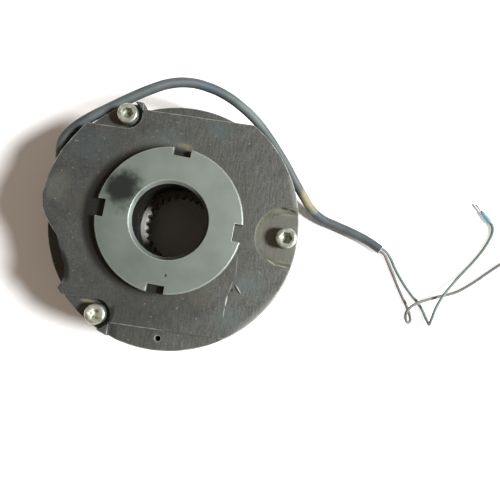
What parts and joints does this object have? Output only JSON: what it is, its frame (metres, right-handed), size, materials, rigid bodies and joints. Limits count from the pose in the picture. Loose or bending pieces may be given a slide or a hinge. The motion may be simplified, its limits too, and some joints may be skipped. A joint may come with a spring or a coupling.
{
  "type": "spring applied brake",
  "caption": "Round spring applied disc brake with a cast magnet housing, threaded torque adjuster ring, splined rotor, flange plate and a short two-wire cable.",
  "frame": {"origin": "centre of the flange plate's underside, on the shaft axis", "axes": "+Z along the shaft axis from the flange to the adjuster ring; +X from the axis to the cap screw in the wide dish"},
  "size_m": [0.2602, 0.1384, 0.0558],
  "materials": {
    "cast_housing": "dark phosphated casting with a grainy skin",
    "bobbin_plastic": "moulded",
    "copper_wire": "enamelled winding wire",
    "potting_resin": "cast resin",
    "grommet_rubber": "moulded",
    "ring_steel": "turned and blackened, worn to grey",
    "armature_steel": "ground",
    "rotor_aluminium": "machined",
    "friction_lining": "pressed friction material",
    "flange_steel": "ground",
    "sleeve_steel": "zinc plated, yellowed",
    "screw_zinc": "zinc plated, dulled",
    "pin_steel": "ground",
    "spring_steel": "drawn wire",
    "cable_pvc": "extruded, soiled",
    "wire_green_pvc": "extruded",
    "wire_brown_pvc": "extruded",
    "collar_plastic": "moulded",
    "ferrule_tin": "tinned copper"
  },
  "bodies": {
    "stator": {"magnet_housing": "cast_housing", "coil_bobbin": "bobbin_plastic", "coil_winding": "copper_wire", "coil_potting": "potting_resin", "cable_grommet": "grommet_rubber", "flange_plate": "flange_steel", "sleeve_bolts": "sleeve_steel", "cap_screws": "screw_zinc", "compression_spring_1": "spring_steel", "compression_spring_2": "spring_steel", "compression_spring_3": "spring_steel", "compression_spring_4": "spring_steel", "compression_spring_5": "spring_steel", "compression_spring_6": "spring_steel", "cable_jacket": "cable_pvc", "wire_green": "wire_green_pvc", "wire_brown": "wire_brown_pvc", "ferrule_collar_green": "collar_plastic", "ferrule_collar_brown": "collar_plastic", "ferrule_tube_green": "ferrule_tin", "ferrule_tube_brown": "ferrule_tin"},
    "thrust_pins": {"thrust_pin_1": "pin_steel", "thrust_pin_2": "pin_steel", "thrust_pin_3": "pin_steel", "thrust_pin_4": "pin_steel", "thrust_pin_5": "pin_steel", "thrust_pin_6": "pin_steel"},
    "adjuster_ring": {"adjuster_ring": "ring_steel"},
    "armature": {"armature_plate": "armature_steel"},
    "rotor": {"rotor_carrier": "rotor_aluminium", "friction_lining_upper": "friction_lining", "friction_lining_lower": "friction_lining"}
  },
  "joints": [
    {"name": "rotor_spin", "type": "hinge", "parent": "stator", "child": "rotor", "pos_m": [0, 0, 0.0125], "axis": [0, 0, 1], "continuous": true},
    {"name": "armature_stroke", "type": "slide", "parent": "stator", "child": "armature", "axis": [0, 0, 1], "range_m": [0, 0.0003], "stiffness_N_per_m": 5000, "springref_m": -0.002, "deforming": ["compression_spring_1", "compression_spring_2", "compression_spring_3", "compression_spring_4", "compression_spring_5", "compression_spring_6"]},
    {"name": "ring_lift", "type": "slide", "parent": "stator", "child": "thrust_pins", "axis": [0, 0, 1], "range_m": [-0.00061, 0.00301], "deforming": ["compression_spring_1", "compression_spring_2", "compression_spring_3", "compression_spring_4", "compression_spring_5", "compression_spring_6"]},
    {"name": "ring_turn", "type": "hinge", "parent": "thrust_pins", "child": "adjuster_ring", "pos_m": [0, 0, 0.0526], "axis": [0, 0, 1], "range_deg": [-144, 720]}
  ],
  "couplings": [
    {"joint": "ring_lift", "follows": "ring_turn", "m_per_rad": 0.00023873}
  ]
}
